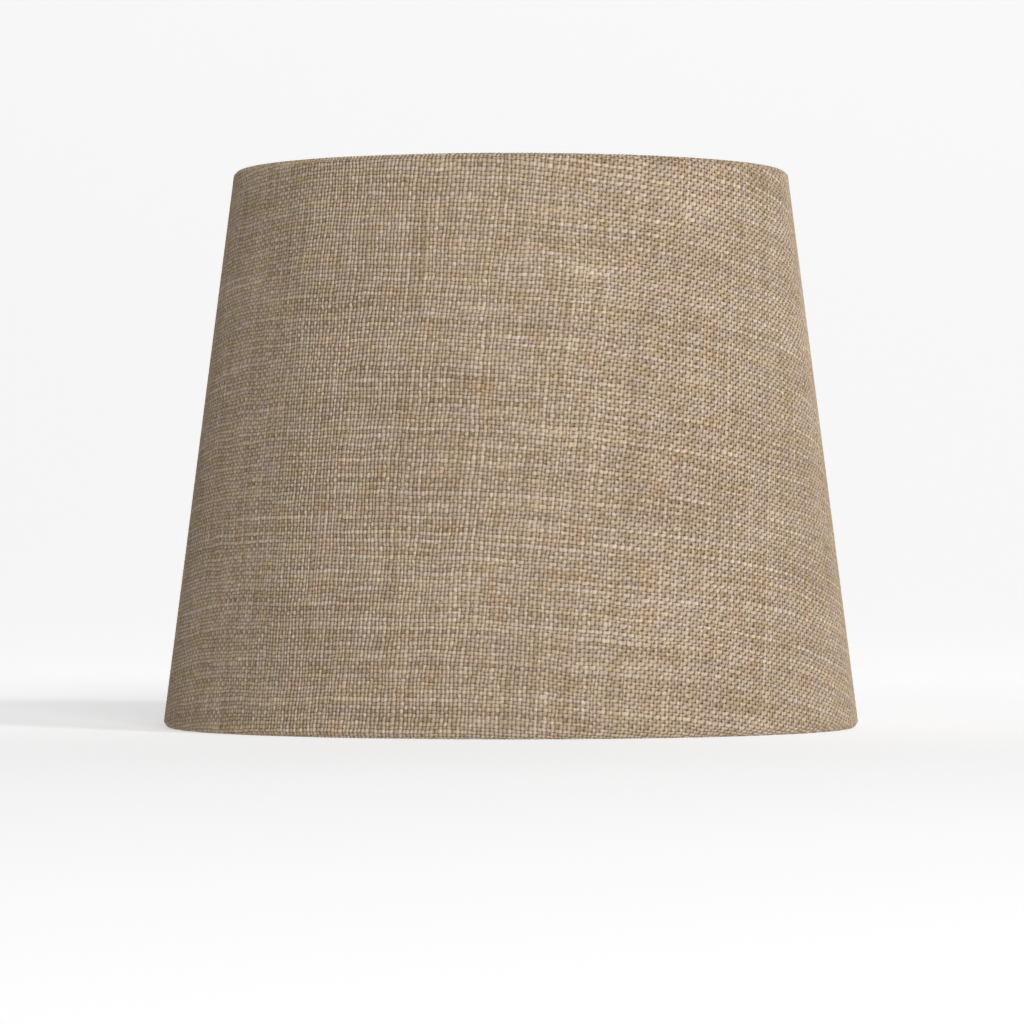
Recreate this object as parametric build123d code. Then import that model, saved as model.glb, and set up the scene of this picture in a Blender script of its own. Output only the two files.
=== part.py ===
"""A tapered drum lamp shade: woven linen on a styrene liner, rolled over two wire rings, with a spider fitter.

Millimetres, +Z up. The origin is the centre of the circle that the bottom edge stands on. The seam is at +Y.
"""

from build123d import *
from math import acos, atan2, cos, degrees, radians, sin
import os

# Size over the cloth: an 8 in top, a 10 in bottom and an 8 in height.
INCH = 25.4
TOP_OUTER_D = 8 * INCH
BOTTOM_OUTER_D = 10 * INCH
HEIGHT = 8 * INCH

# Layers of the wall, from inside to outside.
LINER = 0.4
CLOTH = 0.6

# Frame wire, and the double-sided tape that the hems stick to.
WIRE_D = 2.7
RING_TAPE = 0.15
RING_TAPE_SLIT_DEG = 12

# Hem: how far round the ring the cloth goes, from the wall over the edge and back up inside.
TUCK_END_DEG = 300
LINER_TOUCH_DEG = 360

# Seam at the back: the end of the cloth is turned under and glued over its start.
SEAM_DEG = 90
LAP_WIDTH = 12.0
LAP_FOOT = 2.0
SEAM_TAPE = 0.12
SEAM_TAPE_MARGIN = 0.6
LINER_GAP = 0.5

# Spider fitter: a washer on three arms, set down below the top edge.
ARM_COUNT = 3
WASHER_DROP = INCH / 2
WASHER_OD = INCH
WASHER_HOLE_D = 7 / 16 * INCH
WASHER_THICK = 2.0
WASHER_EDGE = 0.3
ARM_LAP = 4.0
ARM_SINK = 0.2
ARM_LEVEL_RUN = 9.0
ARM_SLOPE_RUN = 13.0
ARM_BEND_R = 6.0

# Welds.
RING_JOINT_DEG = 78
RING_JOINT_LENGTH = 1.6
BEAD_STAND = 0.6
BEAD_LENGTH = 1.4
BEAD_SIDE = 0.9
BEAD_HEIGHT = 1.1
HEM_NOTCH_CLEARANCE = 0.25

# Distances from a ring's centre, measured outward and square to the wall.
WIRE_R = WIRE_D / 2
LINER_IN = WIRE_R + RING_TAPE
LINER_OUT = LINER_IN + LINER
CLOTH_OUT = LINER_OUT + CLOTH
HEM_R = LINER_IN + CLOTH

# The ring centres, found from the outer size. The wall leans in by the angle between them.
BOTTOM_Z = HEM_R
TOP_Z = HEIGHT - HEM_R
WALL_LEAN = atan2((BOTTOM_OUTER_D - TOP_OUTER_D) / 2, TOP_Z - BOTTOM_Z)
BOTTOM_R = BOTTOM_OUTER_D / 2 - LINER_OUT * cos(WALL_LEAN) - CLOTH
TOP_R = TOP_OUTER_D / 2 - CLOTH_OUT * cos(WALL_LEAN)
BOTTOM, TOP = "bottom", "top"
CENTRE = {BOTTOM: (BOTTOM_R, BOTTOM_Z), TOP: (TOP_R, TOP_Z)}

WASHER_TOP_Z = HEIGHT - WASHER_DROP
ARM_ANGLES = [SEAM_DEG + i * 360 / ARM_COUNT for i in range(ARM_COUNT)]


def at(end, out, past):
    """The point of the XZ half plane that lies this far outward from a ring's centre, and past it along the wall."""
    r, z = CENTRE[end]
    way = -1 if end == BOTTOM else 1
    return Vector(
        r + out * cos(WALL_LEAN) - way * past * sin(WALL_LEAN),
        0,
        z + out * sin(WALL_LEAN) + way * past * cos(WALL_LEAN),
    )


def polar(end, radius, degree, out=0.0):
    """A point on a circle round the point that lies out from a ring's centre. 0 degrees is outward."""
    return at(end, out + radius * cos(radians(degree)), radius * sin(radians(degree)))


def arc(end, radius, start, stop, out=0.0):
    """An arc of such a circle."""
    points = [polar(end, radius, d, out) for d in (start, (start + stop) / 2, stop)]
    return ThreePointArc(*points)


def turned(face, length_deg, start_deg):
    """The face turned about Z, from one direction through an angle."""
    return Rot(0, 0, start_deg) * revolve(face, Axis.Z, length_deg)


def wall_band(inner, outer):
    """The section of one layer of the wall, from one ring's level to the other's."""
    corners = [at(BOTTOM, inner, 0), at(BOTTOM, outer, 0), at(TOP, outer, 0), at(TOP, inner, 0)]
    return make_face(Polyline(*corners, close=True))


def width_to_degrees(width, radius):
    return degrees(width / radius)


MIDDLE_R = (BOTTOM_OUTER_D + TOP_OUTER_D) / 4
LAP_DEG = width_to_degrees(LAP_WIDTH, MIDDLE_R)
FOOT_DEG = width_to_degrees(LAP_FOOT, MIDDLE_R)
LAP_START_DEG = SEAM_DEG - LAP_DEG / 2


def hem_edges(end):
    """The cloth round one ring: its outer face and its inner face, each from the wall to the tucked end."""
    # The cloth leaves the liner's corner along the common tangent of the corner and the ring.
    leave = degrees(acos(LINER_IN / LINER_OUT))
    outer = [
        arc(end, CLOTH, 0, leave, LINER_OUT),
        Line(polar(end, CLOTH, leave, LINER_OUT), polar(end, HEM_R, leave)),
        arc(end, HEM_R, leave, TUCK_END_DEG),
    ]
    inner = [
        Line(at(end, LINER_OUT, 0), polar(end, LINER_IN, leave)),
        arc(end, LINER_IN, leave, TUCK_END_DEG),
    ]
    cut = Line(polar(end, HEM_R, TUCK_END_DEG), polar(end, LINER_IN, TUCK_END_DEG))
    return outer + inner + [cut]


def hem_notches():
    """The places where the arms come through the rolled top edge."""
    radius = WIRE_R + BEAD_STAND + HEM_NOTCH_CLEARANCE
    length = 2 * HEM_R
    notch = Pos(TOP_R - length / 2, 0, TOP_Z) * Rot(0, 90, 0) * Cylinder(radius, length)
    return [Rot(0, 0, angle) * notch for angle in ARM_ANGLES]


def linen_cover():
    """The cloth: the cone, both rolled hems, and the turned-under lap at the back."""
    faces = [
        Line(at(BOTTOM, CLOTH_OUT, 0), at(TOP, CLOTH_OUT, 0)),
        Line(at(BOTTOM, LINER_OUT, 0), at(TOP, LINER_OUT, 0)),
    ]
    section = make_face(faces + hem_edges(BOTTOM) + hem_edges(TOP))
    cover = turned(section, 360, SEAM_DEG)
    lap_in = CLOTH_OUT + SEAM_TAPE
    lap = turned(wall_band(lap_in, lap_in + 2 * CLOTH), LAP_DEG, LAP_START_DEG)
    foot = turned(wall_band(CLOTH_OUT, lap_in), FOOT_DEG, LAP_START_DEG)
    return cover + foot + lap - hem_notches()


def seam_tape():
    """The adhesive strip between the lap and the cloth under it."""
    start = LAP_START_DEG + FOOT_DEG
    length = LAP_DEG - FOOT_DEG - width_to_degrees(SEAM_TAPE_MARGIN, MIDDLE_R)
    return turned(wall_band(CLOTH_OUT, CLOTH_OUT + SEAM_TAPE), length, start)


def styrene_liner():
    """The stiff lining behind the cloth. Its two ends meet under the lap."""
    gap = width_to_degrees(LINER_GAP, MIDDLE_R)
    return turned(wall_band(LINER_IN, LINER_OUT), 360 - gap, SEAM_DEG + gap / 2)


def ring(end):
    """A wire ring, open where its ends are welded together."""
    gap = width_to_degrees(RING_JOINT_LENGTH, CENTRE[end][0])
    return turned(wire_section(end), 360 - gap, RING_JOINT_DEG + gap / 2)


def ring_weld(end):
    """The ground-flush weld that closes a ring."""
    gap = width_to_degrees(RING_JOINT_LENGTH, CENTRE[end][0])
    return turned(wire_section(end), gap, RING_JOINT_DEG - gap / 2)


def wire_section(end):
    return make_face([arc(end, WIRE_R, 0, 180), arc(end, WIRE_R, 180, 360)])


def ring_tape(end):
    """The tape round a ring. Its two long edges nearly meet in the crevice beside the liner."""
    slit = (TUCK_END_DEG + LINER_TOUCH_DEG) / 2
    start = slit + RING_TAPE_SLIT_DEG / 2 - 360
    stop = slit - RING_TAPE_SLIT_DEG / 2
    section = make_face(
        [
            arc(end, WIRE_R, start, stop),
            arc(end, LINER_IN, start, stop),
            Line(polar(end, WIRE_R, start), polar(end, LINER_IN, start)),
            Line(polar(end, WIRE_R, stop), polar(end, LINER_IN, stop)),
        ]
    )
    tape = turned(section, 360, SEAM_DEG)
    return tape - hem_notches() if end == TOP else tape


def top_ring_space():
    """The space that the closed top ring fills, which the arms and their welds are coped to."""
    return Pos(0, 0, TOP_Z) * Torus(TOP_R, WIRE_R)


def spider_arm(angle):
    """One arm: level at the ring, then down, then level to the washer. Its outer end is coped to the ring."""
    inner_z = WASHER_TOP_Z + WIRE_R - ARM_SINK
    slope_start = TOP_R - WIRE_R - ARM_LEVEL_RUN
    route = FilletPolyline(
        (TOP_R - WIRE_R / 2, 0, TOP_Z),
        (slope_start, 0, TOP_Z),
        (slope_start - ARM_SLOPE_RUN, 0, inner_z),
        (WASHER_OD / 2 - ARM_LAP, 0, inner_z),
        radius=ARM_BEND_R,
    )
    wire = sweep(Plane(route @ 0, z_dir=route % 0) * Circle(WIRE_R), path=route)
    return Rot(0, 0, angle) * (wire - top_ring_space())


def spider_washer(arms):
    """The washer, with a shallow bed for each arm."""
    body = Cylinder(WASHER_OD / 2, WASHER_THICK)
    body = chamfer(body.edges(), WASHER_EDGE) - Cylinder(WASHER_HOLE_D / 2, 2 * WASHER_THICK)
    return Pos(0, 0, WASHER_TOP_Z - WASHER_THICK / 2) * body - arms


def arm_ring_welds(arms):
    """A tapered bead round the outer end of each arm."""
    small, large = WIRE_R + BEAD_STAND / 4, WIRE_R + BEAD_STAND
    middle = TOP_R - WIRE_R - BEAD_LENGTH / 2 + WIRE_R / 2
    bead = Pos(middle, 0, TOP_Z) * Rot(0, 90, 0) * Cone(small, large, BEAD_LENGTH)
    bead = bead - top_ring_space()
    return [Rot(0, 0, angle) * bead - arm for angle, arm in zip(ARM_ANGLES, arms)]


def arm_washer_welds(arms):
    """A bead along each side of each arm, where it lies on the washer."""
    half = WIRE_R + BEAD_SIDE
    section = Polyline(
        (0, -half, 0), (0, half, 0), (0, WIRE_R, BEAD_HEIGHT), (0, -WIRE_R, BEAD_HEIGHT), close=True
    )
    length = ARM_LAP - 2 * WASHER_EDGE
    start = WASHER_OD / 2 - ARM_LAP + WASHER_EDGE
    bead = Pos(start, 0, WASHER_TOP_Z) * extrude(make_face(section), length, dir=(1, 0, 0))
    return [Rot(0, 0, angle) * bead - arm for angle, arm in zip(ARM_ANGLES, arms)]


def build():
    """Every node by name."""
    arms = [spider_arm(angle) for angle in ARM_ANGLES]
    nodes = {
        "linen_cover": linen_cover(),
        "seam_tape": seam_tape(),
        "styrene_liner": styrene_liner(),
        "spider_washer": spider_washer(arms),
        "arm_ring_welds": Compound(arm_ring_welds(arms)),
        "arm_washer_welds": Compound(arm_washer_welds(arms)),
    }
    for end in (TOP, BOTTOM):
        nodes[f"{end}_ring"] = ring(end)
        nodes[f"{end}_ring_weld"] = ring_weld(end)
        nodes[f"{end}_ring_tape"] = ring_tape(end)
    for number, arm in enumerate(arms, 1):
        nodes[f"spider_arm_{number}"] = arm
    return nodes


os.makedirs("parts", exist_ok=True)
for name, shape in build().items():
    export_step(shape, f"parts/{name}.step")
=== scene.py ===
"""Looks of the lamp shade: a woven linen cover with rolled hems and a lapped seam."""

import math

import bpy
import numpy as np
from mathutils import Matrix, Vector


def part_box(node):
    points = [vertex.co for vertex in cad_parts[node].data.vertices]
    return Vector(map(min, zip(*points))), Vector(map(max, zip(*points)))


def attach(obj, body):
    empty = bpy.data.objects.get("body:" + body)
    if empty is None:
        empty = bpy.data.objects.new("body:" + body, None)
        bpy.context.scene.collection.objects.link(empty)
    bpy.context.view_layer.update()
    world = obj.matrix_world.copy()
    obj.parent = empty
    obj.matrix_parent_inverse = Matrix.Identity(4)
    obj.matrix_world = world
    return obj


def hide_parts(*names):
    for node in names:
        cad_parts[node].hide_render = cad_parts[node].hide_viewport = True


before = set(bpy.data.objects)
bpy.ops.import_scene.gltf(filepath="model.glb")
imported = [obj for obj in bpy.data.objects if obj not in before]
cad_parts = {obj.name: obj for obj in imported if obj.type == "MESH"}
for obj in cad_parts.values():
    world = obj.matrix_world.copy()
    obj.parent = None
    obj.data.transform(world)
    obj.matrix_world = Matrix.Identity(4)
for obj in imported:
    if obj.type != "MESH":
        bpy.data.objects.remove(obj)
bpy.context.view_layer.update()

MM = 0.001
ROOT = "root"

# ---------------------------------------------------------------- sizes, from the frame


def ring_of(node):
    """A ring's radius and height, and its wire's radius."""
    low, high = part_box(node)
    wire = (high.z - low.z) / 2
    return high.x - wire, (high.z + low.z) / 2, wire


BOTTOM_R, BOTTOM_Z, WIRE_R = ring_of("bottom_ring")
TOP_R, TOP_Z, _ = ring_of("top_ring")
HEM_R = BOTTOM_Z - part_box("linen_cover")[0].z
CLOTH = 0.6 * MM
LINER = 0.4 * MM
TAPE_R = HEM_R - CLOTH
CLOTH_IN = TAPE_R + LINER
CLOTH_OUT = CLOTH_IN + CLOTH
LEAN = math.atan2(BOTTOM_R - TOP_R, TOP_Z - BOTTOM_Z)
TUCK_END = math.radians(300)
LEAVE = math.acos(TAPE_R / CLOTH_IN)

# Seam at +Y: the end of the cloth is turned under and lies on its start.
SEAM_AT = math.radians(90)
MIDDLE_R = (BOTTOM_R + TOP_R) / 2 + CLOTH_OUT
LAP_HALF = 6 * MM / MIDDLE_R
LAP_RAMP = 4 * MM / MIDDLE_R
LAP_RISE = 1.32 * MM
LAP_FADES_BY = math.radians(81)
FREE_EDGE = SEAM_AT + LAP_HALF
FOLD_REACH = 0.55 * MM / MIDDLE_R
FOLD_COLUMNS = 7

# Weave: the threads' pitches, where round the shade the weft runs level, and how far the warp leans.
WARP_PITCH = 1.475 * MM
WEFT_PITCH = 1.385 * MM
LEVEL_AT = math.radians(-119)
WARP_LEAN = math.radians(1.5)

# How far the threads stray from an even grid, as a share of a pitch, and over what distance.
WARP_DRIFT = ((0.55, 34 * MM), (0.22, 9 * MM))
WEFT_DRIFT = ((0.65, 38 * MM), (0.25, 10 * MM))
UNEVEN_THREADS, UNEVEN_CELL, UNEVEN_LENGTH = 0.19, 1.3, 16
WARP_JITTER, WARP_JITTER_CELL = 0.15, 1.4
WEFT_JITTER, WEFT_JITTER_CELL = 0.15, 1.3

# A crossing: half widths as a share of a pitch, and heights above the cloth's middle.
WARP_HALF = 0.42
PALE_WEFT_HALF = 0.49
TAN_WEFT_HALF = 0.45
SLUB_WIDENS = 0.09
EDGE_SHARPNESS = 5.0
TILT = -0.05
THREAD_RISE = 0.22 * MM
CRIMP = 0.22 * MM
PIT = -0.12 * MM
CROWN = THREAD_RISE + CRIMP

# Directions between which the floats lean and their painted flank shade is stronger, and over how wide
# a turn this comes and goes.
LEAN_FROM, LEAN_GROWS_OVER = math.radians(-95), math.radians(50)
LEAN_TO, LEAN_FADES_OVER = math.radians(60), math.radians(60)

# Share of the cloth's tone that comes from each source.
OWN_TONE = 0.28
STREAK_TONE = 0.9
CROSSING_TONE = 0.3
FIBRE_TONE = 0.5
PATCH_TONE = 0.3
TAN_DARKER = 0.16

# Painted shade and light on the flanks of each float, as for light from the upper right: how much
# darker one end is painted than the other, across and along, everywhere and more where the floats lean.
PAINTED_SHADE_X = 0.28
PAINTED_SHADE_Y = 0.08
SIDE_PAINTED_SHADE_X = 0.12
SIDE_PAINTED_SHADE_Y = 0.22
SIDE_PAINTED_SHADE_XY = 0.2

# Painted shade in the deepest pits and painted light on the highest threads, how much the painted pit
# shade varies, and the yarns' colours.
PIT_SHADE_VARIES = 0.7
PIT_PAINTED_SHADE = (0.38, 0.31, 0.24, 1)
CROWN_PAINTED_LIGHT = (1.05, 1.045, 1.06, 1)
BROWN_PINK = (0.25, 0.172, 0.112, 1)
BROWN_YELLOW = (0.24, 0.168, 0.088, 1)
PALE_PINK = (0.66, 0.545, 0.455, 1)
PALE_YELLOW = (0.65, 0.54, 0.375, 1)
RUST = (0.64, 0.45, 0.26, 1)

# Distance between the mesh's points where the weave shows, and where it is hidden.
MESH_STEP = 0.24 * MM
HIDDEN_STEP = 1.5 * MM

# ---------------------------------------------------------------- random fields


def value_noise(rng, x, y, cell):
    """Smooth noise of -1 to 1 over a plane, with one random value per cell."""
    u, v = (x - x.min()) / cell, (y - y.min()) / cell
    grid = rng.uniform(-1, 1, (int(u.max()) + 2, int(v.max()) + 2)).astype(np.float32)
    iu, iv = u.astype(int), v.astype(int)
    fu, fv = u - iu, v - iv
    fu, fv = fu * fu * (3 - 2 * fu), fv * fv * (3 - 2 * fv)
    low = grid[iu, iv] * (1 - fu) + grid[iu + 1, iv] * fu
    high = grid[iu, iv + 1] * (1 - fu) + grid[iu + 1, iv + 1] * fu
    return low * (1 - fv) + high * fv


class Threads:
    """The slubs of one set of threads. A number runs across the threads and a place along them."""

    def __init__(self, seed, number, place):
        rng = np.random.default_rng(seed)
        self.first, self.start = int(number.min()) - 1, place.min()
        count = int(number.max()) - self.first + 2
        length = int(np.ptp(place)) + 3
        # Thick places are short and rare: the peaks of a smooth random line along each thread.
        line = rng.normal(0, 1, (count, length + 8))
        for _ in range(2):
            line = (line[:, 1:] + line[:, :-1]) / 2
        strong = rng.gamma(1.2, 0.5, (count, 1))
        self.slubs = (line * 1.6 - 1.1 + 0.35 * strong).clip(0, 1.6)

    def slub(self, number, place):
        """0 on a plain stretch and up to about 1 in a slub. A unit of place is four crossings."""
        row, at = number.astype(int) - self.first, (place - self.start) / 4
        left = at.astype(int)
        f = at - left
        return self.slubs[row, left] * (1 - f) + self.slubs[row, left + 1] * f


# ---------------------------------------------------------------- section of the cover


def section_points():
    """The four stretches of the cover's closed section: the wall's outer face, the outside of a hem,
    the inside of a hem and the wall's inner face. A point is its distance out from the ring's centre
    line, its distance past the ring and the angle of its normal.
    """
    wall = (TOP_Z - BOTTOM_Z) / math.cos(LEAN)

    def arc(radius, start, stop, out, step):
        count = max(3, int(abs(stop - start) * radius / step))
        angle = np.linspace(start, stop, count, endpoint=False)
        return np.stack([out + radius * np.cos(angle), radius * np.sin(angle), angle], 1)

    def line(a, b, angle, step):
        count = max(2, int(math.dist(a, b) / step))
        t = np.linspace(0, 1, count, endpoint=False)[:, None]
        flat = np.array(a) * (1 - t) + np.array(b) * t
        return np.concatenate([flat, np.full((count, 1), angle)], 1)

    def point(radius, angle, out=0.0):
        return (out + radius * math.cos(angle), radius * math.sin(angle))

    fine, coarse = MESH_STEP, HIDDEN_STEP
    leaves = point(CLOTH, LEAVE, CLOTH_IN), point(HEM_R, LEAVE)
    outer = np.concatenate(
        [
            arc(CLOTH, 0, LEAVE, CLOTH_IN, fine),
            line(*leaves, LEAVE, fine),
            arc(HEM_R, LEAVE, TUCK_END, 0, fine),
            [[*point(HEM_R, TUCK_END), TUCK_END]],
        ]
    )
    inner = np.concatenate(
        [
            arc(TAPE_R, TUCK_END, LEAVE, 0, coarse),
            line(point(TAPE_R, LEAVE), (CLOTH_IN, 0), LEAVE, coarse),
        ]
    )
    down = line((CLOTH_OUT, 0), (CLOTH_OUT, wall), 0, fine)
    up = line((CLOTH_IN, 0), (CLOTH_IN, wall), 0, wall / 4)
    return down, outer, inner, up


def section():
    """The section's rows, from the top of the wall, down outside, round the bottom ring and back.

    A row is its radius, height, normal, whether it is on the outer face, and how far it is round a hem.
    """
    down, outer, inner, up = section_points()
    rows = []

    def place(points, end, outside, in_hem):
        ring_r, ring_z = (TOP_R, TOP_Z) if end == "top" else (BOTTOM_R, BOTTOM_Z)
        past = 1 if end == "top" else -1
        out, along, angle = points.T
        normal_out, normal_along = np.cos(angle), np.sin(angle)

        def turn(a, b):
            r = a * math.cos(LEAN) - past * b * math.sin(LEAN)
            z = a * math.sin(LEAN) + past * b * math.cos(LEAN)
            return r, z

        r, z = turn(out, along)
        nr, nz = turn(normal_out, normal_along)
        # A face towards the ring has its normal the other way.
        nr, nz = (nr, nz) if outside else (-nr, -nz)
        hem = np.clip(angle / LAP_FADES_BY, 0, 1) if in_hem else np.zeros(len(angle))
        rows.append(
            np.stack([ring_r + r, ring_z + z, nr, nz, np.full(len(r), float(outside)), hem], 1)
        )

    def wall(points, outside):
        flat = points.copy()
        flat[:, 1] *= -1
        place(flat, "top", outside, False)

    wall(down, True)
    place(outer, "bottom", True, True)
    place(inner, "bottom", False, True)
    back = up.copy()
    back[:, 1] = back[::-1, 1] + (up[1, 1] - up[0, 1])
    wall(back, False)
    place(inner[::-1], "top", False, True)
    place(outer[::-1], "top", True, True)
    return np.concatenate(rows), len(down), len(outer)


# ---------------------------------------------------------------- the cover's mesh


def columns():
    """The directions round the shade, from the free edge to the free edge again, and the share of
    the lap's rise at each.
    """
    count = int(2 * math.pi * MIDDLE_R / MESH_STEP)
    plain = np.linspace(0, 2 * math.pi - FOLD_REACH, count)
    turn = np.linspace(0, 1, FOLD_COLUMNS + 1)[1:]
    bend = 2 * math.pi - FOLD_REACH * (1 - np.sin(turn * math.pi / 2))
    angle = np.concatenate([plain, bend])
    from_edge = 2 * math.pi - angle
    ramp = np.clip((2 * LAP_HALF + LAP_RAMP - from_edge) / LAP_RAMP, 0, 1)
    rise = ramp * ramp * (3 - 2 * ramp)
    rise[len(plain) :] = np.cos(turn * math.pi / 2)
    # The last column is the first one again.
    return FREE_EDGE - 2 * math.pi + angle[:-1], rise[:-1]


def cloth_lengths(rows, wall_rows, hem_rows):
    """Each row's distance down the cone, along the cloth, from the cone's point."""
    step = np.hypot(*np.diff(rows[:, :2], axis=0).T)
    start = rows[0, 0] / math.sin(LEAN)
    length = np.full(len(rows), start)
    outside = rows[:, 4] > 0.5
    down = wall_rows + hem_rows
    length[1:down] = start + np.cumsum(step[: down - 1])
    above = len(rows) - hem_rows
    length[above:] = start - np.cumsum(np.append(step[above:], step[0])[::-1])[::-1]
    hidden = ~outside
    share = np.linspace(0, 1, hidden.sum())
    length[hidden] = length[down - 1] * (1 - share) + length[above] * share
    return length


def weave_places(length, angle):
    """The warp number and weft number at each point of the cloth."""
    turn = (angle[None, :] - LEVEL_AT) * math.sin(LEAN)
    x = length[:, None] * np.sin(turn)
    y = -length[:, None] * np.cos(turn)
    rng = np.random.default_rng(11)
    warp = (x - y * math.tan(WARP_LEAN)) / WARP_PITCH
    weft = y / WEFT_PITCH
    for share, cell in WARP_DRIFT:
        warp = warp + share * value_noise(rng, x, y, cell)
    for share, cell in WEFT_DRIFT:
        weft = weft + share * value_noise(rng, x, y, cell)
    # Neighbouring threads differ in thickness, each for some centimetres at a time.
    warp = warp + UNEVEN_THREADS * value_noise(rng, warp, weft / UNEVEN_LENGTH, UNEVEN_CELL)
    weft = weft + UNEVEN_THREADS * value_noise(rng, weft, warp / UNEVEN_LENGTH, UNEVEN_CELL)
    # Each crossing sits a little off its place.
    warp = warp + WARP_JITTER * value_noise(rng, warp, weft, WARP_JITTER_CELL)
    weft = weft + WEFT_JITTER * value_noise(rng, warp, weft, WEFT_JITTER_CELL)
    return warp - math.floor(warp.min()) + 1, weft - math.floor(weft.min()) + 1


def weave_relief(warp, weft, lean_and_side_shade, warps, wefts):
    """The height of the cloth's face above its middle, and the slubs of its warp and its weft."""
    i, j = np.floor(warp), np.floor(weft)
    across, up = warp - i - 0.5, weft - j - 0.5
    side = 1 - 2 * ((i + j) % 2)
    warp_slub, weft_slub = warps.slub(i, weft), wefts.slub(j, warp)
    warp_half = WARP_HALF + SLUB_WIDENS * warp_slub
    weft_half = np.where(j % 2 == 0, PALE_WEFT_HALF, TAN_WEFT_HALF) + SLUB_WIDENS * weft_slub

    def thread(offset, half, sign, along):
        inside = np.clip(1 - (offset / half) ** 2, 0, 1)
        cover = np.clip(inside * EDGE_SHARPNESS, 0, 1)
        height = sign * CRIMP * np.cos(np.pi * along) + THREAD_RISE * np.sqrt(inside)
        return height * cover + PIT * (1 - cover)

    warp_off = across - TILT * lean_and_side_shade * side * np.sin(np.pi * up)
    weft_off = up - TILT * lean_and_side_shade * side * np.sin(np.pi * across)
    height = np.maximum(
        thread(warp_off, warp_half, side, up), thread(weft_off, weft_half, -side, across)
    )
    return height, warp_slub, weft_slub


def lean_and_side_shade_at(angle):
    """How much the floats lean and how strong their painted flank shade is, from 0 to 1: most between
    the front-right and the right of the shade.
    """
    rise = np.clip((angle - LEAN_FROM) / LEAN_GROWS_OVER, 0, 1)
    fall = np.clip((LEAN_TO - angle) / LEAN_FADES_OVER, 0, 1)
    share = np.minimum(rise, fall)
    return share * share * (3 - 2 * share)


def new_mesh(name, points, faces):
    """A mesh of quads from arrays of points and of corner numbers."""
    mesh = bpy.data.meshes.new(name)
    mesh.vertices.add(len(points))
    mesh.vertices.foreach_set("co", points.astype(np.float32).ravel())
    mesh.loops.add(faces.size)
    mesh.loops.foreach_set("vertex_index", faces.astype(np.int32).ravel())
    mesh.polygons.add(len(faces))
    mesh.polygons.foreach_set("loop_start", np.arange(0, faces.size, 4, dtype=np.int32))
    mesh.polygons.foreach_set("use_smooth", np.ones(len(faces), bool))
    mesh.update(calc_edges=True)
    ob = bpy.data.objects.new(name, mesh)
    bpy.context.scene.collection.objects.link(ob)
    return ob


def grid_faces(rows, cols):
    """The rows and the columns of the corners of the quads of a grid that is closed both ways."""
    r, c = np.meshgrid(np.arange(rows), np.arange(cols), indexing="ij")
    r, c = r.ravel(), c.ravel()
    corner_r = np.stack([r, r + 1, r + 1, r], 1)
    corner_c = np.stack([c, c, c + 1, c + 1], 1)
    return corner_r, corner_c


def set_uv(mesh, name, u, v):
    layer = mesh.uv_layers.new(name=name, do_init=False)
    layer.uv.foreach_set("vector", np.stack([u, v], -1).astype(np.float32).ravel())


def set_point_value(mesh, name, values):
    mesh.attributes.new(name, "FLOAT", "POINT").data.foreach_set(
        "value", values.astype(np.float32).ravel()
    )


def make_cover():
    """The cloth as one closed skin, with the relief of every crossing on its outer face."""
    rows, wall_rows, hem_rows = section()
    angle, rise = columns()
    n_rows, n_cols = len(rows), len(angle)
    length = cloth_lengths(rows, wall_rows, hem_rows)
    # One column more, for the corners that close the circle.
    angle_all = np.append(angle, FREE_EDGE)
    rise_all = np.append(rise, 0.0)
    warp, weft = weave_places(length, angle_all)
    warps, wefts = Threads(21, warp, weft / 4), Threads(22, weft, warp / 4)
    lean_and_side_shade = lean_and_side_shade_at(angle_all)
    height, warp_slub, weft_slub = weave_relief(warp, weft, lean_and_side_shade, warps, wefts)
    r, z, nr, nz, outside, hem = rows.T
    lap = (1 - hem) ** 2 * (3 - 2 * (1 - hem))
    out = (height - CROWN) * outside[:, None] + LAP_RISE * rise_all * (lap * outside)[:, None]
    radius = r[:, None] + nr[:, None] * out
    up = z[:, None] + nz[:, None] * out
    x, y = radius * np.cos(angle_all), radius * np.sin(angle_all)
    keep = np.s_[:, :n_cols]
    points = np.stack([x[keep], y[keep], up[keep]], -1).reshape(-1, 3)
    corner_r, corner_c = grid_faces(n_rows, n_cols)
    wrapped_r, wrapped_c = corner_r % n_rows, corner_c % n_cols
    cover = new_mesh("linen_cloth", points, wrapped_r * n_cols + wrapped_c)
    mesh = cover.data
    set_uv(mesh, "Weave", warp[wrapped_r, corner_c], weft[wrapped_r, corner_c])
    set_point_value(mesh, "warp_slub", warp_slub[keep])
    set_point_value(mesh, "weft_slub", weft_slub[keep])
    set_point_value(mesh, "lean_and_side_shade", np.broadcast_to(lean_and_side_shade, height.shape)[keep])
    bake_map(mesh, corner_r, corner_c, n_rows, n_cols)
    return cover, (length[wall_rows + hem_rows - 1], length[n_rows - hem_rows])


def bake_map(mesh, corner_r, corner_c, n_rows, n_cols):
    """A map for the export: each half of the circle is a band as wide as the image."""
    half = n_cols / 2
    first = (corner_c[:, :1] < half).astype(float)
    u = np.where(first > 0, corner_c / half, (corner_c - half) / half)
    v = (corner_r / n_rows + first) / 2
    set_uv(mesh, "OFBake", u.clip(0, 1), v)


# ---------------------------------------------------------------- materials


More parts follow.
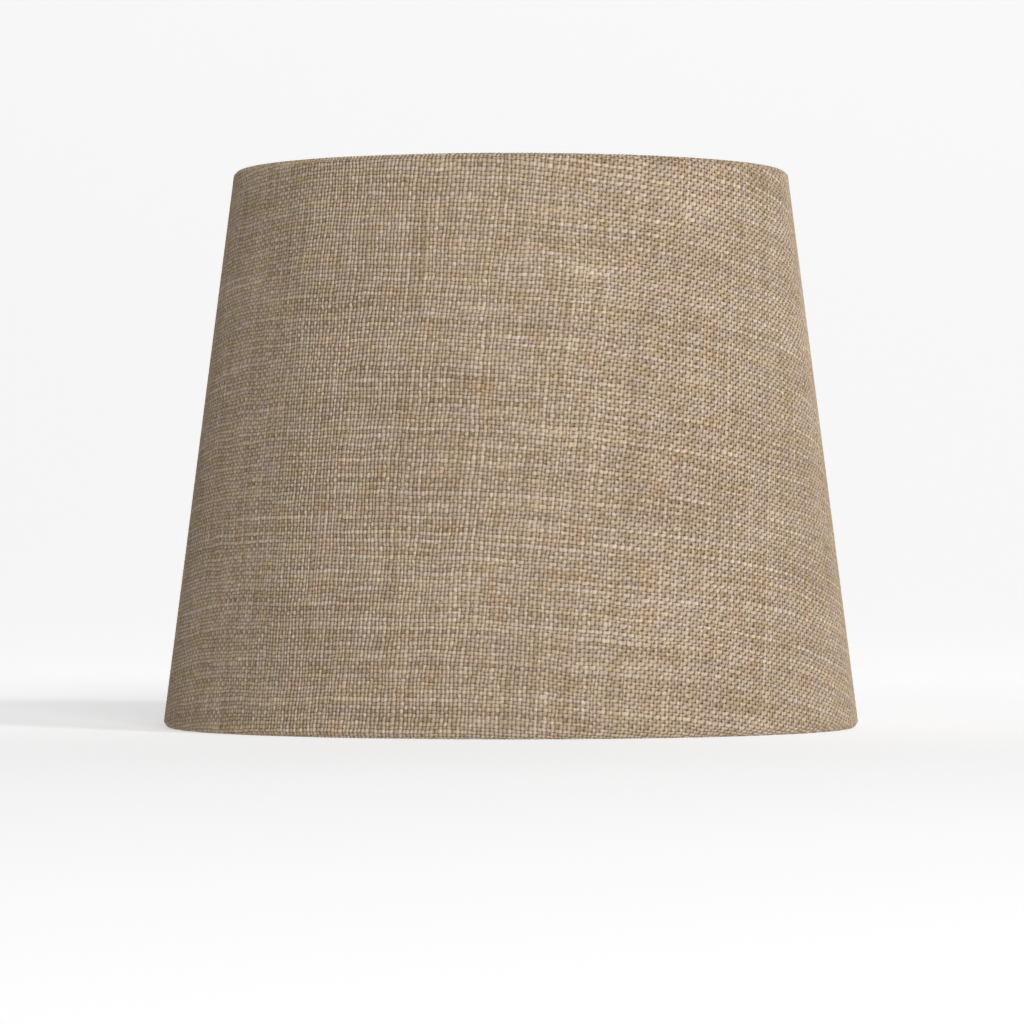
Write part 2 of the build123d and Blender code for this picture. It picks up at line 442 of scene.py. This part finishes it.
class Nodes:
    """Short names for building one material's nodes."""

    def __init__(self, name):
        self.material = bpy.data.materials.new(name)
        self.material.use_nodes = True
        self.tree = self.material.node_tree
        self.shader = self.tree.nodes["Principled BSDF"]

    def add(self, kind, **settings):
        node = self.tree.nodes.new("ShaderNode" + kind)
        for key, value in settings.items():
            setattr(node, key, value)
        return node

    def link(self, source, target):
        if isinstance(source, (int, float, tuple)):
            target.default_value = source
        else:
            self.tree.links.new(source, target)

    def math(self, operation, *inputs, clamp=False):
        node = self.add("Math", operation=operation, use_clamp=clamp)
        for value, socket in zip(inputs, node.inputs):
            self.link(value, socket)
        return node.outputs[0]

    def mix(self, factor, a, b):
        """A colour between two."""
        node = self.add("Mix", data_type="RGBA")
        self.link(factor, node.inputs["Factor"])
        self.link(a, node.inputs["A"])
        self.link(b, node.inputs["B"])
        return node.outputs["Result"]

    def multiplied(self, a, b):
        """One colour times another."""
        node = self.add("VectorMath", operation="MULTIPLY")
        self.link(a, node.inputs[0])
        self.link(b, node.inputs[1])
        return node.outputs[0]

    def spread(self, value, low, high, to_low=0.0, to_high=1.0):
        """A number taken from one range to another, and kept inside it."""
        node = self.add("MapRange")
        for number, key in zip((value, low, high, to_low, to_high), range(5)):
            self.link(number, node.inputs[key])
        return node.outputs[0]

    def vector(self, x=0.0, y=0.0, z=0.0):
        node = self.add("CombineXYZ")
        for value, socket in zip((x, y, z), node.inputs):
            self.link(value, socket)
        return node.outputs[0]

    def noise(self, at, scale, detail=2.0, rough=0.5):
        node = self.add("TexNoise")
        self.link(at, node.inputs["Vector"])
        node.inputs["Scale"].default_value = scale
        node.inputs["Detail"].default_value = detail
        node.inputs["Roughness"].default_value = rough
        return node.outputs["Fac"]

    def random(self, at):
        node = self.add("TexWhiteNoise", noise_dimensions="3D")
        self.link(at, node.inputs["Vector"])
        return node.outputs["Value"]

    def attribute(self, name):
        return self.add("Attribute", attribute_name=name).outputs["Fac"]

    def bump(self, height, distance, strength=1.0, normal=None):
        node = self.add("Bump")
        self.link(height, node.inputs["Height"])
        node.inputs["Distance"].default_value = distance
        node.inputs["Strength"].default_value = strength
        if normal is not None:
            self.link(normal, node.inputs["Normal"])
        return node.outputs["Normal"]

    def set(self, **values):
        for key, value in values.items():
            self.shader.inputs[key.replace("_", " ")].default_value = value


def linen_material():
    """Unbleached linen: each thread has its own tone, twist and streaks; the pits are painted dark and
    the floats' flanks carry painted shade and light.
    """
    n = Nodes("natural_linen")
    place = n.add("SeparateXYZ")
    n.link(n.add("UVMap", uv_map="Weave").outputs[0], place.inputs[0])
    warp, weft = place.outputs[0], place.outputs[1]
    i, j = n.math("FLOOR", warp), n.math("FLOOR", weft)
    across = n.math("SUBTRACT", n.math("SUBTRACT", warp, i), 0.5)
    up = n.math("SUBTRACT", n.math("SUBTRACT", weft, j), 0.5)
    side = n.math("MULTIPLY_ADD", n.math("FLOORED_MODULO", n.math("ADD", i, j), 2.0), -2.0, 1.0)
    # Every second weft thread is from the paler, thicker yarn.
    tan_weft = n.math("FLOORED_MODULO", j, 2.0)
    warp_slub, weft_slub = n.attribute("warp_slub"), n.attribute("weft_slub")

    def thread(offset, half, along, sign):
        ratio = n.math("DIVIDE", offset, half)
        inside = n.math("SUBTRACT", 1.0, n.math("MULTIPLY", ratio, ratio), clamp=True)
        wave = n.math("COSINE", n.math("MULTIPLY", along, math.pi))
        lift = n.math("MULTIPLY", n.math("MULTIPLY", wave, sign), CRIMP / CROWN)
        height = n.math("MULTIPLY_ADD", n.math("SQRT", inside), THREAD_RISE / CROWN, lift)
        cover = n.math("MULTIPLY", inside, EDGE_SHARPNESS, clamp=True)
        above = n.math("SUBTRACT", height, PIT / CROWN)
        return n.math("MULTIPLY_ADD", above, cover, PIT / CROWN)

    warp_half = n.math("MULTIPLY_ADD", warp_slub, SLUB_WIDENS, WARP_HALF)
    weft_half = n.math("MULTIPLY_ADD", tan_weft, TAN_WEFT_HALF - PALE_WEFT_HALF, PALE_WEFT_HALF)
    weft_half = n.math("MULTIPLY_ADD", weft_slub, SLUB_WIDENS, weft_half)
    # Each float leans on its neighbour, so one of its ends is nearer to the face than the other.
    lean_and_side_shade = n.attribute("lean_and_side_shade")
    swing_x = n.math("MULTIPLY", n.math("SINE", n.math("MULTIPLY", across, math.pi)), side)
    swing_y = n.math("MULTIPLY", n.math("SINE", n.math("MULTIPLY", up, math.pi)), side)
    swing_xy = n.math("MULTIPLY", swing_x, n.math("SINE", n.math("MULTIPLY", up, math.pi)))
    tilt = n.math("MULTIPLY", lean_and_side_shade, -TILT)
    warp_off = n.math("MULTIPLY_ADD", swing_y, tilt, across)
    weft_off = n.math("MULTIPLY_ADD", swing_x, tilt, up)
    warp_height = thread(warp_off, warp_half, up, side)
    weft_height = thread(weft_off, weft_half, across, n.math("MULTIPLY", side, -1.0))
    weft_on_top = n.spread(n.math("SUBTRACT", weft_height, warp_height), -0.06, 0.06)
    height = n.math("MAXIMUM", warp_height, weft_height)

    # Tone of each thread along its length: 0 is brown and 1 is pale.
    def tone(number, along, seed):
        own = n.random(n.vector(number, seed, 0.0))
        streak = n.noise(n.vector(n.math("MULTIPLY", along, 0.035), number, seed), 1.0, 3.0, 0.6)
        return n.math("MULTIPLY_ADD", own, OWN_TONE, n.math("MULTIPLY", streak, STREAK_TONE))

    def by_thread(for_warp, for_weft):
        return n.math("MULTIPLY_ADD", n.math("SUBTRACT", for_weft, for_warp), weft_on_top, for_warp)

    warp_tone = n.math("MULTIPLY_ADD", warp_slub, 0.04, tone(i, weft, 3.0))
    weft_tone = n.math("MULTIPLY_ADD", weft_slub, 0.2, tone(j, warp, 8.0))
    weft_tone = n.math("MULTIPLY_ADD", tan_weft, -TAN_DARKER, weft_tone)
    value = by_thread(warp_tone, weft_tone)
    crossing = n.random(n.vector(i, j, 5.0))
    value = n.math("MULTIPLY_ADD", crossing, CROSSING_TONE, value)

    # Fibres run along the top thread, slanted by its twist.
    def fibres(along, offset, seed):
        slant = n.math("MULTIPLY_ADD", along, 1.5, n.math("MULTIPLY", offset, 9.0))
        return n.noise(n.vector(n.math("MULTIPLY", along, 1.3), slant, seed), 1.0, 2.0, 0.6)

    fibre = by_thread(fibres(weft, warp, 1.0), fibres(warp, weft, 4.0))
    value = n.math("MULTIPLY_ADD", fibre, FIBRE_TONE, value)
    patch_at = n.vector(n.math("MULTIPLY", warp, 0.035), n.math("MULTIPLY", weft, 0.06), 2.0)
    value = n.math("MULTIPLY_ADD", n.noise(patch_at, 1.0, 3.0), PATCH_TONE, value)
    middle = (OWN_TONE + STREAK_TONE + CROSSING_TONE + FIBRE_TONE + PATCH_TONE) / 2
    value = n.math("ADD", value, 0.55 - middle)

    # Some threads are yellower and others pinker; the paler weft is one of the pink ones.
    hue_at = n.vector(n.math("MULTIPLY", warp, 0.09), n.math("MULTIPLY", weft, 0.3), 6.0)
    hue = n.math("MULTIPLY_ADD", tan_weft, 0.16, n.noise(hue_at, 1.0, 2.0))
    yellow = n.spread(hue, 0.38, 0.78)
    rust_at = n.vector(n.math("MULTIPLY", warp, 0.16), n.math("MULTIPLY", weft, 0.22), 17.0)
    rust = n.spread(n.noise(rust_at, 1.0, 3.0), 0.5, 0.85)
    dark = n.mix(yellow, BROWN_PINK, BROWN_YELLOW)
    pale = n.mix(rust, n.mix(yellow, PALE_PINK, PALE_YELLOW), RUST)
    colour = n.mix(value, dark, pale)
    # Painted shade: the pits are painted dark, as little light gets out of them, some pits darker than
    # others, and the highest threads a little lighter.
    pit_shade_noise = n.noise(n.vector(warp, weft, 9.0), 0.9, 1.0)
    middle_depth = n.math("SUBTRACT", height, PIT_SHADE_VARIES / 2)
    painted_shade_depth = n.math("MULTIPLY_ADD", pit_shade_noise, PIT_SHADE_VARIES, middle_depth)
    # Painted shade and light on the floats' flanks, as for light from the upper right, stronger where
    # the floats lean.
    painted_shade_depth = n.math("MULTIPLY_ADD", swing_x, n.math("MULTIPLY_ADD", lean_and_side_shade, SIDE_PAINTED_SHADE_X, PAINTED_SHADE_X), painted_shade_depth)
    painted_shade_depth = n.math("MULTIPLY_ADD", swing_y, n.math("MULTIPLY_ADD", lean_and_side_shade, -SIDE_PAINTED_SHADE_Y, -PAINTED_SHADE_Y), painted_shade_depth)
    painted_shade_depth = n.math("MULTIPLY_ADD", swing_xy, n.math("MULTIPLY", lean_and_side_shade, -SIDE_PAINTED_SHADE_XY), painted_shade_depth)
    painted_light_share = n.spread(painted_shade_depth, -0.15, 0.85)
    shade = n.mix(painted_light_share, PIT_PAINTED_SHADE, CROWN_PAINTED_LIGHT)
    colour = n.multiplied(colour, shade)
    n.link(colour, n.shader.inputs["Base Color"])

    n.link(n.math("MULTIPLY_ADD", fibre, 0.2, 0.72), n.shader.inputs["Roughness"])
    crisp = n.bump(height, 0.4 * MM, 1.0)
    n.link(n.bump(fibre, 0.05 * MM, 0.9, crisp), n.shader.inputs["Normal"])
    n.set(Sheen_Weight=0.02, Sheen_Roughness=0.5, Specular_IOR_Level=0.12)
    return n.material


def liner_material():
    """Matt white styrene with a faint calender grain."""
    n = Nodes("styrene_white")
    at = n.add("TexCoord").outputs["Object"]
    grain = n.noise(at, 900.0, 3.0)
    cloud = n.noise(at, 22.0, 2.0)
    colour = n.mix(cloud, (0.80, 0.785, 0.745, 1), (0.855, 0.845, 0.815, 1))
    n.link(colour, n.shader.inputs["Base Color"])
    n.link(n.math("MULTIPLY_ADD", grain, 0.16, 0.46), n.shader.inputs["Roughness"])
    n.link(n.bump(grain, 0.03 * MM, 0.5), n.shader.inputs["Normal"])
    n.set(Specular_IOR_Level=0.4)
    return n.material


def brass_material(name, pale, dull, rough):
    """Satin brass plating, duller in places, with fine drawing lines and specks."""
    n = Nodes(name)
    at = n.add("TexCoord").outputs["Object"]
    stain = n.noise(at, 160.0, 4.0, 0.6)
    speck = n.noise(at, 2600.0, 2.0)
    n.link(n.mix(n.spread(stain, 0.35, 0.7), pale, dull), n.shader.inputs["Base Color"])
    n.link(n.math("MULTIPLY_ADD", stain, 0.28, rough), n.shader.inputs["Roughness"])
    n.link(n.bump(speck, 0.02 * MM, 0.5), n.shader.inputs["Normal"])
    n.set(Metallic=1.0)
    return n.material


def tape_material():
    """Thin cream adhesive tape."""
    n = Nodes("adhesive_tape")
    at = n.add("TexCoord").outputs["Object"]
    cloud = n.noise(at, 300.0, 3.0)
    n.link(n.mix(cloud, (0.66, 0.6, 0.46, 1), (0.76, 0.71, 0.58, 1)), n.shader.inputs["Base Color"])
    n.link(n.math("MULTIPLY_ADD", cloud, 0.2, 0.3), n.shader.inputs["Roughness"])
    n.link(n.bump(cloud, 0.03 * MM, 0.4), n.shader.inputs["Normal"])
    return n.material


def paper_material():
    """The pale floor and backdrop. The backdrop glows, and the glow fades out towards the shade."""
    n = Nodes("pale_paper")
    at = n.add("TexCoord").outputs["Object"]
    place = n.add("SeparateXYZ")
    n.link(at, place.inputs[0])
    cloud = n.noise(at, 3.0, 2.0)
    n.link(n.mix(cloud, (0.495, 0.495, 0.495, 1), (0.5, 0.5, 0.5, 1)), n.shader.inputs["Base Color"])
    glow = n.spread(place.outputs[1], -0.3, 0.7, FLOOR_GLOW, BACKDROP_GLOW)
    n.link(glow, n.shader.inputs["Emission Strength"])
    n.shader.inputs["Emission Color"].default_value = (1, 1, 1, 1)
    n.set(Roughness=0.9, Specular_IOR_Level=0.1)
    return n.material


def wear(node, material):
    """Gives a CAD node its material."""
    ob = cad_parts[node]
    ob.data.materials.clear()
    ob.data.materials.append(material)


# ---------------------------------------------------------------- pieces

cover, (tuck_bottom, tuck_top) = make_cover()
cover.data.materials.append(linen_material())
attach(cover, ROOT)
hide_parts("linen_cover")

brass = brass_material("brass_wire", (0.72, 0.54, 0.27, 1), (0.52, 0.37, 0.18, 1), 0.2)
bead = brass_material("brass_bead", (0.6, 0.46, 0.26, 1), (0.36, 0.27, 0.16, 1), 0.34)
liner = liner_material()
tape = tape_material()
wear("styrene_liner", liner)
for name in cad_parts:
    if name.endswith("_weld") or name.endswith("_welds"):
        wear(name, bead)
    elif name.endswith("_tape"):
        wear(name, tape)
    elif name.startswith("spider") or name.endswith("_ring"):
        wear(name, brass)

# ---------------------------------------------------------------- floor, light and camera

FLOOR_GLOW = 0.5
BACKDROP_GLOW = 0.65
KEY_POWER = 66
FRONT_POWER = 102
WORLD_STRENGTH = 0.02
CAMERA_AT = (0.0004, -1.904, 0.068)
CAMERA_AIM = (0.0004, 0.0, 0.0787)


def sweep_floor():
    """A pale floor that curves up into a backdrop far behind."""
    reach, back, bend, top = 6.0, 3.2, 1.4, 4.5
    turn = np.linspace(0, math.pi / 2, 24)
    profile = [(-reach, 0.0), (back - bend, 0.0)]
    profile += [(back - bend + bend * math.sin(a), bend - bend * math.cos(a)) for a in turn[1:]]
    profile.append((back, top))
    points = [(x, y, z) for y, z in profile for x in (-reach, reach)]
    faces = [(2 * k, 2 * k + 1, 2 * k + 3, 2 * k + 2) for k in range(len(profile) - 1)]
    floor = new_mesh("floor", np.array(points), np.array(faces))
    floor.data.materials.append(paper_material())


def area_light(name, azimuth, height, distance, size, power, aim=(0, 0, 0.1)):
    """A soft box. Azimuth 0 is where the camera stands, and it grows to the right."""
    light = bpy.data.lights.new(name, "AREA")
    light.shape, light.size, light.energy = "SQUARE", size, power
    ob = bpy.data.objects.new(name, light)
    turn = math.radians(azimuth)
    ob.location = (distance * math.sin(turn), -distance * math.cos(turn), height)
    aim_at(ob, aim)
    bpy.context.scene.collection.objects.link(ob)


def aim_at(ob, target):
    direction = np.array(target) - np.array(ob.location)
    level = math.hypot(direction[0], direction[1])
    tilt = math.atan2(direction[2], level)
    ob.rotation_euler = (math.pi / 2 + tilt, 0, math.atan2(-direction[0], direction[1]))


sweep_floor()
area_light("key_right", 45, 2.2, 3.0, 0.6, KEY_POWER)
area_light("front", 14, 2.0, 4.0, 1.3, FRONT_POWER)

world = bpy.data.worlds.new("studio")
world.use_nodes = True
world.node_tree.nodes["Background"].inputs["Color"].default_value = (1, 1, 1, 1)
world.node_tree.nodes["Background"].inputs["Strength"].default_value = WORLD_STRENGTH
bpy.context.scene.world = world

camera = bpy.data.objects.new("camera", bpy.data.cameras.new("camera"))
camera.data.lens = 182.5
camera.data.sensor_width = 36
camera.location = CAMERA_AT
aim_at(camera, CAMERA_AIM)
bpy.context.scene.collection.objects.link(camera)
bpy.context.scene.camera = camera
bpy.context.scene.view_settings.view_transform = "Standard"
